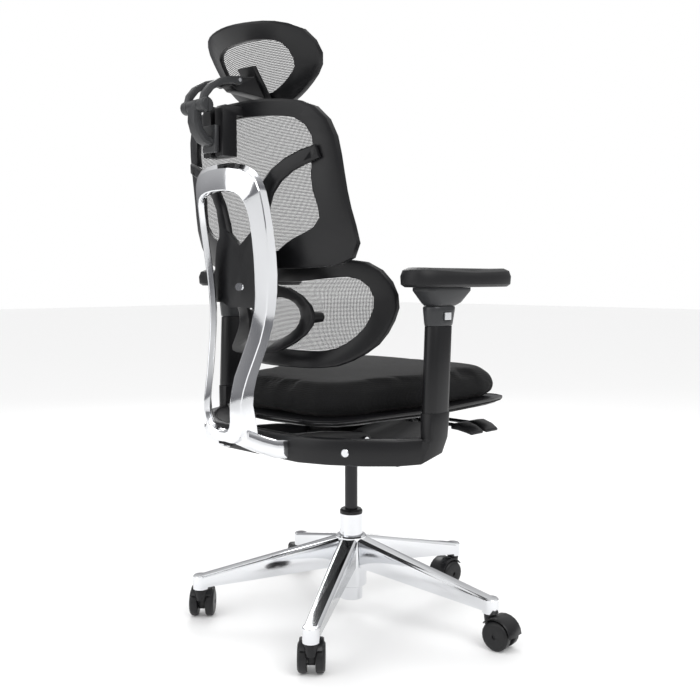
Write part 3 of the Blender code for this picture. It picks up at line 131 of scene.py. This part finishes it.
class ChairSizes(bpy.types.PropertyGroup):
    """Sizes of the soft goods."""
    voxel: bpy.props.FloatProperty(
        name="Cushion grid", description="Grid size of the cushion's cloth", unit="LENGTH",
        default=0.006, min=0.004, max=0.012)
    swell: bpy.props.FloatProperty(
        name="Swell", description="How far the cushion may swell", unit="LENGTH",
        default=0.012, min=0.0, max=0.03)
    inset: bpy.props.FloatProperty(
        name="Inset", description="How far the cover starts inside its finished size", unit="LENGTH",
        default=0.007, min=0.0, max=0.02)
    piping: bpy.props.FloatProperty(
        name="Piping", description="Radius of the piping round the seat", unit="LENGTH",
        default=0.0019, min=0.001, max=0.005)
    thread: bpy.props.FloatProperty(
        name="Mesh pitch", description="Distance between holes in the mesh", unit="LENGTH",
        default=0.0026, min=0.001, max=0.006)


# ---------------------------------------------------------------- shader groups
def new_group(name, inputs, outputs):
    """An empty shader group with the named float or vector sockets."""
    group = bpy.data.node_groups.new(name, "ShaderNodeTree")
    for label, kind, value in inputs:
        socket = group.interface.new_socket(label, in_out="INPUT", socket_type=kind)
        if value is not None:
            socket.default_value = value
    for label in outputs:
        group.interface.new_socket(label, in_out="OUTPUT", socket_type="NodeSocketFloat")
    source = group.nodes.new("NodeGroupInput")
    sink = group.nodes.new("NodeGroupOutput")
    return group, source, sink


def math_node(tree, operation, *values):
    node = tree.nodes.new("ShaderNodeMath")
    node.operation = operation
    for socket, value in zip(node.inputs, values):
        if isinstance(value, bpy.types.NodeSocket):
            tree.links.new(value, socket)
        else:
            socket.default_value = value
    return node.outputs[0]


def grain_group():
    """Fine moulded or cast grain over broad, faint handling marks."""
    group, source, sink = new_group(
        "Surface grain",
        [("Vector", "NodeSocketVector", None), ("Scale", "NodeSocketFloat", 900.0),
         ("Roughness", "NodeSocketFloat", 0.4), ("Spread", "NodeSocketFloat", 0.08)],
        ["Height", "Roughness", "Marks"])
    fine = group.nodes.new("ShaderNodeTexNoise")
    fine.inputs["Detail"].default_value = 3
    broad = group.nodes.new("ShaderNodeTexNoise")
    broad.inputs["Scale"].default_value = 14
    broad.inputs["Detail"].default_value = 5
    group.links.new(source.outputs["Vector"], fine.inputs["Vector"])
    group.links.new(source.outputs["Vector"], broad.inputs["Vector"])
    group.links.new(source.outputs["Scale"], fine.inputs["Scale"])
    centred = math_node(group, "SUBTRACT", broad.outputs["Fac"], 0.5)
    change = math_node(group, "MULTIPLY", centred, source.outputs["Spread"])
    rough = math_node(group, "ADD", change, source.outputs["Roughness"])
    group.links.new(fine.outputs["Fac"], sink.inputs["Height"])
    group.links.new(rough, sink.inputs["Roughness"])
    group.links.new(broad.outputs["Fac"], sink.inputs["Marks"])
    return group


def weave_group():
    """Crossing threads at a pitch, on all three directions so that it also covers turned-down sides."""
    group, source, sink = new_group(
        "Woven threads",
        [("Vector", "NodeSocketVector", None), ("Pitch", "NodeSocketFloat", 0.0016)],
        ["Height", "Threads"])
    split = group.nodes.new("ShaderNodeSeparateXYZ")
    group.links.new(source.outputs["Vector"], split.inputs[0])
    rate = math_node(group, "DIVIDE", math.pi, source.outputs["Pitch"])
    waves = [math_node(group, "SINE", math_node(group, "MULTIPLY", split.outputs[axis], rate))
             for axis in range(3)]
    total = math_node(group, "ADD", math_node(group, "ADD", waves[0], waves[1]), waves[2])
    panel = math_node(group, "ABSOLUTE", math_node(group, "MULTIPLY", waves[0], waves[2]))
    group.links.new(total, sink.inputs["Height"])
    group.links.new(panel, sink.inputs["Threads"])
    return group


def object_vector(tree):
    return tree.nodes.new("ShaderNodeTexCoord").outputs["Object"]


def surface(name, colour, roughness, metallic, scale, depth, spread, tint=0.85, **sockets):
    """A Principled material with grain, handling marks and its own single values."""
    material = bpy.data.materials.new(name)
    material.use_nodes = True
    tree = material.node_tree
    shader = tree.nodes["Principled BSDF"]
    shader.inputs["Metallic"].default_value = metallic
    for label, value in sockets.items():
        shader.inputs[label.replace("_", " ")].default_value = value
    grain = tree.nodes.new("ShaderNodeGroup")
    grain.node_tree = GROUPS["grain"]
    grain.inputs["Scale"].default_value = scale
    grain.inputs["Roughness"].default_value = roughness
    grain.inputs["Spread"].default_value = spread
    tree.links.new(object_vector(tree), grain.inputs["Vector"])
    tree.links.new(grain.outputs["Roughness"], shader.inputs["Roughness"])
    mix = tree.nodes.new("ShaderNodeMix")
    mix.data_type = "RGBA"
    mix.inputs["A"].default_value = (*[channel * tint for channel in colour], 1)
    mix.inputs["B"].default_value = (*colour, 1)
    tree.links.new(grain.outputs["Marks"], mix.inputs["Factor"])
    tree.links.new(mix.outputs["Result"], shader.inputs["Base Color"])
    bump = tree.nodes.new("ShaderNodeBump")
    bump.inputs["Strength"].default_value = 0.35
    bump.inputs["Distance"].default_value = depth
    tree.links.new(grain.outputs["Height"], bump.inputs["Height"])
    tree.links.new(bump.outputs["Normal"], shader.inputs["Normal"])
    return material


def woven(name, colour, pitch, depth, see_through):
    """Cloth with threads. A see-through one has real holes between them."""
    material = surface(name, colour, 0.85, 0, 500, depth, 0.10, 0.7, Sheen_Weight=0.06, Sheen_Roughness=0.5,
                       Specular_IOR_Level=0.2)
    tree = material.node_tree
    shader = tree.nodes["Principled BSDF"]
    threads = tree.nodes.new("ShaderNodeGroup")
    threads.node_tree = GROUPS["weave"]
    threads.inputs["Pitch"].default_value = pitch
    tree.links.new(object_vector(tree), threads.inputs["Vector"])
    bump = tree.nodes["Bump"]
    tree.links.new(threads.outputs["Height"], bump.inputs["Height"])
    if see_through:
        solid = math_node(tree, "LESS_THAN", threads.outputs["Threads"], see_through)
        tree.links.new(solid, shader.inputs["Alpha"])
    return material


def make_materials():
    colours = bpy.context.scene.chair_colours
    sizes = bpy.context.scene.chair_sizes
    GROUPS["grain"] = grain_group()
    GROUPS["weave"] = weave_group()
    plastic = tuple(colours.plastic)
    trim = tuple(colours.trim)
    metal = tuple(colours.metal)
    MATERIALS.update({
        "polished_aluminium": surface("polished_aluminium", metal, 0.10, 1, 260, 0.00004, 0.08, 0.96),
        "chromed_steel": surface("chromed_steel", (0.78, 0.79, 0.81), 0.08, 1, 400, 0.00002, 0.05, 0.97),
        "black_steel": surface("black_steel", (0.03, 0.03, 0.032), 0.30, 0.7, 500, 0.00004, 0.1),
        "black_casting": surface("black_casting", (0.010, 0.010, 0.011), 0.45, 0, 700, 0.0001, 0.1,
                                 Specular_IOR_Level=0.3),
        "black_plastic": surface("black_plastic", plastic, 0.34, 0, 1100, 0.00006, 0.10,
                                 Specular_IOR_Level=0.32),
        "grey_plastic": surface("grey_plastic", trim, 0.34, 0, 900, 0.00005, 0.10, Specular_IOR_Level=0.35),
        "soft_pad": surface("soft_pad", (0.008, 0.008, 0.009), 0.48, 0, 1300, 0.00008, 0.12,
                            Specular_IOR_Level=0.3),
        "tread": surface("tread", (0.009, 0.009, 0.010), 0.42, 0, 800, 0.0001, 0.15, Specular_IOR_Level=0.35),
        "black_fabric": woven("black_fabric", tuple(colours.cloth), 0.0016, 0.0004, 0),
        "black_mesh": woven("black_mesh", (0.016, 0.016, 0.018), sizes.thread, 0.0003, 0.46),
    })


GROUPS = {}
MATERIALS = {}


# ---------------------------------------------------------------- modelling helpers
def deselect():
    if bpy.context.object and bpy.context.object.mode != "OBJECT":
        bpy.ops.object.mode_set(mode="OBJECT")
    bpy.ops.object.select_all(action="DESELECT")


def take_up(piece):
    """Make one piece the only selected and the active object."""
    deselect()
    piece.select_set(True)
    bpy.context.view_layer.objects.active = piece


def merged_copy(node, name):
    """A CAD node's shape as clean, merged faces in a new object."""
    piece = bpy.data.objects.new(name, frame["nodes"][node].data.copy())
    bpy.context.scene.collection.objects.link(piece)
    take_up(piece)
    bpy.ops.object.mode_set(mode="EDIT")
    bpy.ops.mesh.select_all(action="SELECT")
    bpy.ops.mesh.remove_doubles(threshold=MERGE_DISTANCE)
    bpy.ops.mesh.dissolve_limited(angle_limit=math.radians(1))
    bpy.ops.object.mode_set(mode="OBJECT")
    return piece


def apply_modifier(piece, kind, **values):
    modifier = piece.modifiers.new(kind.title(), kind)
    for label, value in values.items():
        setattr(modifier, label, value)
    take_up(piece)
    bpy.ops.object.modifier_apply(modifier=modifier.name)


def smooth(piece, degrees=35):
    take_up(piece)
    bpy.ops.object.shade_smooth_by_angle(angle=math.radians(degrees))


def finish_piece(piece, node):
    """Give a piece the finish and the body of the CAD node it stands for."""
    piece.data.materials.clear()
    piece.data.materials.append(MATERIALS[SLOT_OF[node]])
    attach(piece, BODY_OF[node])


def softened(node, width, segments):
    """A node with its arrises rounded as moulding or casting leaves them."""
    piece = merged_copy(node, f"{node}_finished")
    apply_modifier(piece, "BEVEL", width=width, segments=segments, limit_method="ANGLE",
                   angle_limit=ARRIS_ANGLE, use_clamp_overlap=True)
    smooth(piece, 42)
    finish_piece(piece, node)
    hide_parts(node)


# ---------------------------------------------------------------- operators
class CHAIR_OT_castings(bpy.types.Operator):
    """Round and polish the star base and the back hoop"""
    bl_idname = "chair.castings"
    bl_label = "Castings"

    def execute(self, context):
        for node, (width, segments) in CASTINGS.items():
            softened(node, width, segments)
        return {"FINISHED"}


class CHAIR_OT_mouldings(bpy.types.Operator):
    """Round the plastic frames, brackets, levers and arms"""
    bl_idname = "chair.mouldings"
    bl_label = "Mouldings"

    def execute(self, context):
        for node, (width, segments) in MOULDINGS.items():
            softened(node, width, segments)
        return {"FINISHED"}


class CHAIR_OT_casters(bpy.types.Operator):
    """Round the hoods and wheels of the casters"""
    bl_idname = "chair.casters"
    bl_label = "Casters"

    def execute(self, context):
        for k in range(1, CASTER_COUNT + 1):
            softened(f"caster_hood_{k}", HOOD_ROUNDING, 2)
            softened(f"caster_wheel_left_{k}", WHEEL_ROUNDING, 2)
            softened(f"caster_wheel_right_{k}", WHEEL_ROUNDING, 2)
        return {"FINISHED"}


class CHAIR_OT_seat_cushion(bpy.types.Operator):
    """Inflate the seat's cover over its foam by cloth simulation"""
    bl_idname = "chair.seat_cushion"
    bl_label = "Seat cushion"

    def execute(self, context):
        sizes = context.scene.chair_sizes
        low, high = (np.array(corner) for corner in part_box("seat_cushion"))
        centre = (low + high) / 2
        piece = merged_copy("seat_cushion", "seat_cover")
        span = high - low
        shrink = (span - 2 * sizes.inset) / span
        for vertex in piece.data.vertices:
            vertex.co = Vector(centre + (np.array(vertex.co) - centre) * shrink)
        apply_modifier(piece, "REMESH", mode="VOXEL", voxel_size=sizes.voxel)
        apply_modifier(piece, "SMOOTH", factor=0.5, iterations=6)
        start = np.array([vertex.co[:] for vertex in piece.data.vertices])
        self.inflate(context, piece)
        ended = np.array([vertex.co[:] for vertex in piece.data.vertices])
        move = ended - start
        length = np.linalg.norm(move, axis=1, keepdims=True)
        move *= np.minimum(1.0, sizes.swell / np.maximum(length, 1e-9))
        settled = start + move
        # points past the CAD solid's box are pressed back to it, which also flattens the underside
        settled = np.clip(settled, low + COVER_LIFT, high + np.array(COVER_OVER))
        for vertex, place in zip(piece.data.vertices, settled):
            vertex.co = Vector(place)
        apply_modifier(piece, "SUBSURF", levels=1, render_levels=1)
        smooth(piece, 180)
        finish_piece(piece, "seat_cushion")
        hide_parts("seat_cushion")
        return {"FINISHED"}

    def inflate(self, context, piece):
        cloth = piece.modifiers.new("Cloth", "CLOTH")
        cloth.settings.use_pressure = True
        cloth.settings.uniform_pressure_force = COVER_PRESSURE
        cloth.settings.effector_weights.gravity = 0
        for step in range(1, SIMULATED_FRAMES + 1):
            context.scene.frame_set(step)
        take_up(piece)
        bpy.ops.object.modifier_apply(modifier=cloth.name)
        context.scene.frame_set(1)


class CHAIR_OT_seat_piping(bpy.types.Operator):
    """Run a cord of piping round the seat where the cover meets the pan"""
    bl_idname = "chair.seat_piping"
    bl_label = "Seat piping"

    def execute(self, context):
        low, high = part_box("seat_pan")
        piece = merged_copy("seat_pan", "seat_piping")
        level = low[2] + PIPING_HEIGHT * (high[2] - low[2])
        take_up(piece)
        bpy.ops.object.mode_set(mode="EDIT")
        bpy.ops.mesh.select_all(action="SELECT")
        upright = (0, math.sin(PIPING_RAKE), math.cos(PIPING_RAKE))
        bpy.ops.mesh.bisect(plane_co=(0, 0, level), plane_no=upright)
        bpy.ops.mesh.select_all(action="INVERT")
        bpy.ops.mesh.delete(type="VERT")
        bpy.ops.object.mode_set(mode="OBJECT")
        bpy.ops.object.convert(target="CURVE")
        context.object.data.bevel_depth = context.scene.chair_sizes.piping
        context.object.data.bevel_resolution = 3
        bpy.ops.object.convert(target="MESH")
        piece = context.object
        if not piece.data.polygons:
            raise RuntimeError("the piping found no edge to follow")
        smooth(piece, 180)
        piece.data.materials.clear()
        piece.data.materials.append(MATERIALS["black_fabric"])
        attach(piece, "seat")
        return {"FINISHED"}


class CHAIR_OT_mesh_panels(bpy.types.Operator):
    """Keep only the sitter's side of the mesh on the back, the lumbar pad and the headrest"""
    bl_idname = "chair.mesh_panels"
    bl_label = "Mesh panels"

    def execute(self, context):
        for node, (rim, cut, area) in MESH_PANELS.items():
            piece = merged_copy(node, f"{node}_cloth")
            self.keep_front(piece)
            smooth(piece, 180)
            finish_piece(piece, node)
            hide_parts(node)
        return {"FINISHED"}

    def keep_front(self, piece):
        """Keep only the face that the sitter leans on."""
        work = bmesh.new()
        work.from_mesh(piece.data)
        hidden = [face for face in work.faces if face.normal.y > FRONT_FACING]
        bmesh.ops.delete(work, geom=hidden, context="FACES")
        work.to_mesh(piece.data)
        work.free()


class CHAIR_OT_arm_pads(bpy.types.Operator):
    """Round the edges of the moulded arm pads"""
    bl_idname = "chair.arm_pads"
    bl_label = "Arm pads"

    def execute(self, context):
        for side in ("left", "right"):
            node = f"arm_pad_{side}"
            piece = merged_copy(node, f"{node}_cover")
            apply_modifier(piece, "BEVEL", width=PAD_ROUNDING, segments=3, limit_method="ANGLE",
                           angle_limit=ARRIS_ANGLE, use_clamp_overlap=True)
            smooth(piece, 60)
            finish_piece(piece, node)
            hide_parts(node)
        return {"FINISHED"}


class CHAIR_OT_carried_over(bpy.types.Operator):
    """Give every CAD node that still shows its finish"""
    bl_idname = "chair.carried_over"
    bl_label = "Carried-over parts"

    def execute(self, context):
        for node, item in frame["nodes"].items():
            if item.hide_render:
                continue
            if not item.material_slots:
                raise RuntimeError(f"{node} has no material slot")
            for place in item.material_slots:
                place.material = MATERIALS[SLOT_OF[node]]
        return {"FINISHED"}


class CHAIR_OT_stage(bpy.types.Operator):
    """Lay the floor and set the studio lights and the camera"""
    bl_idname = "chair.stage"
    bl_label = "Stage"

    def execute(self, context):
        deselect()
        low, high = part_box("gas_lift_shaft")
        axis = Vector(((low[0] + high[0]) / 2, (low[1] + high[1]) / 2, 0))
        bpy.ops.mesh.primitive_plane_add(size=FLOOR_SIZE, location=(0, 0, -FLOOR_DROP))
        floor = context.object
        floor.name = "floor"
        floor.data.materials.append(self.floor_material())
        for name, (place, size, power) in LIGHTS.items():
            self.area(name, axis + Vector(place), size, power, axis)
        self.world(context)
        self.camera(context, axis)
        return {"FINISHED"}

    def floor_material(self):
        material = bpy.data.materials.new("pale_floor")
        material.use_nodes = True
        shader = material.node_tree.nodes["Principled BSDF"]
        shader.inputs["Base Color"].default_value = (0.93, 0.93, 0.93, 1)
        shader.inputs["Roughness"].default_value = 0.7
        return material

    def area(self, name, place, size, power, target):
        light = bpy.data.lights.new(name, "AREA")
        light.shape = "DISK"
        light.size = size
        light.energy = power
        item = bpy.data.objects.new(name, light)
        bpy.context.scene.collection.objects.link(item)
        item.location = place
        item.rotation_euler = (target + LIGHT_AIM - place).to_track_quat("-Z", "Y").to_euler()

    def world(self, context):
        """White all round, and darker towards the floor in reflections only, so that polish shows."""
        world = bpy.data.worlds.new("studio")
        world.use_nodes = True
        tree = world.node_tree
        backdrop = tree.nodes["Background"]
        backdrop.inputs["Strength"].default_value = 1.0
        split = tree.nodes.new("ShaderNodeSeparateXYZ")
        ramp = tree.nodes.new("ShaderNodeValToRGB")
        ramp.color_ramp.elements[0].position = 0.0
        ramp.color_ramp.elements[0].color = (0.16, 0.16, 0.17, 1)
        ramp.color_ramp.elements[1].position = 0.75
        ramp.color_ramp.elements[1].color = (1, 1, 1, 1)
        seen = tree.nodes.new("ShaderNodeLightPath")
        mix = tree.nodes.new("ShaderNodeMix")
        mix.data_type = "RGBA"
        mix.inputs[6].default_value = (1, 1, 1, 1)
        tree.links.new(tree.nodes.new("ShaderNodeTexCoord").outputs["Generated"], split.inputs[0])
        tree.links.new(split.outputs["Z"], ramp.inputs["Fac"])
        tree.links.new(ramp.outputs["Color"], mix.inputs[7])
        tree.links.new(seen.outputs["Is Glossy Ray"], mix.inputs[0])
        tree.links.new(mix.outputs[2], backdrop.inputs["Color"])
        context.scene.world = world
        context.scene.view_settings.view_transform = "Standard"

    def camera(self, context, axis):
        lens = bpy.data.cameras.new("camera")
        lens.lens = 46.39
        lens.sensor_width = 36
        lens.shift_x = -0.0017
        item = bpy.data.objects.new("camera", lens)
        context.scene.collection.objects.link(item)
        item.location = axis + CAMERA_PLACE
        item.rotation_euler = CAMERA_TURN
        context.scene.camera = item


class CHAIR_PT_panel(bpy.types.Panel):
    """Lists the steps that dress the chair"""
    bl_label = "Office chair"
    bl_idname = "CHAIR_PT_panel"
    bl_space_type = "VIEW_3D"
    bl_region_type = "UI"
    bl_category = "Chair"

    def draw(self, context):
        for group in (context.scene.chair_colours, context.scene.chair_sizes):
            for name in group.__annotations__:
                self.layout.prop(group, name)
        for operator in OPERATORS:
            self.layout.operator(operator.bl_idname)


OPERATORS = (
    CHAIR_OT_castings, CHAIR_OT_mouldings, CHAIR_OT_casters, CHAIR_OT_seat_cushion, CHAIR_OT_seat_piping,
    CHAIR_OT_mesh_panels, CHAIR_OT_arm_pads, CHAIR_OT_carried_over, CHAIR_OT_stage,
)
CLASSES = (ChairColours, ChairSizes, *OPERATORS, CHAIR_PT_panel)


def register():
    for item in CLASSES:
        bpy.utils.register_class(item)
    bpy.types.Scene.chair_colours = bpy.props.PointerProperty(type=ChairColours)
    bpy.types.Scene.chair_sizes = bpy.props.PointerProperty(type=ChairSizes)


def unregister():
    del bpy.types.Scene.chair_colours
    del bpy.types.Scene.chair_sizes
    for item in reversed(CLASSES):
        bpy.utils.unregister_class(item)


def main():
    register()
    make_materials()
    bpy.ops.chair.castings()
    bpy.ops.chair.mouldings()
    bpy.ops.chair.casters()
    bpy.ops.chair.seat_cushion()
    bpy.ops.chair.seat_piping()
    bpy.ops.chair.mesh_panels()
    bpy.ops.chair.arm_pads()
    bpy.ops.chair.carried_over()
    bpy.ops.chair.stage()
    bpy.context.view_layer.update()


if __name__ == "__main__":
    main()
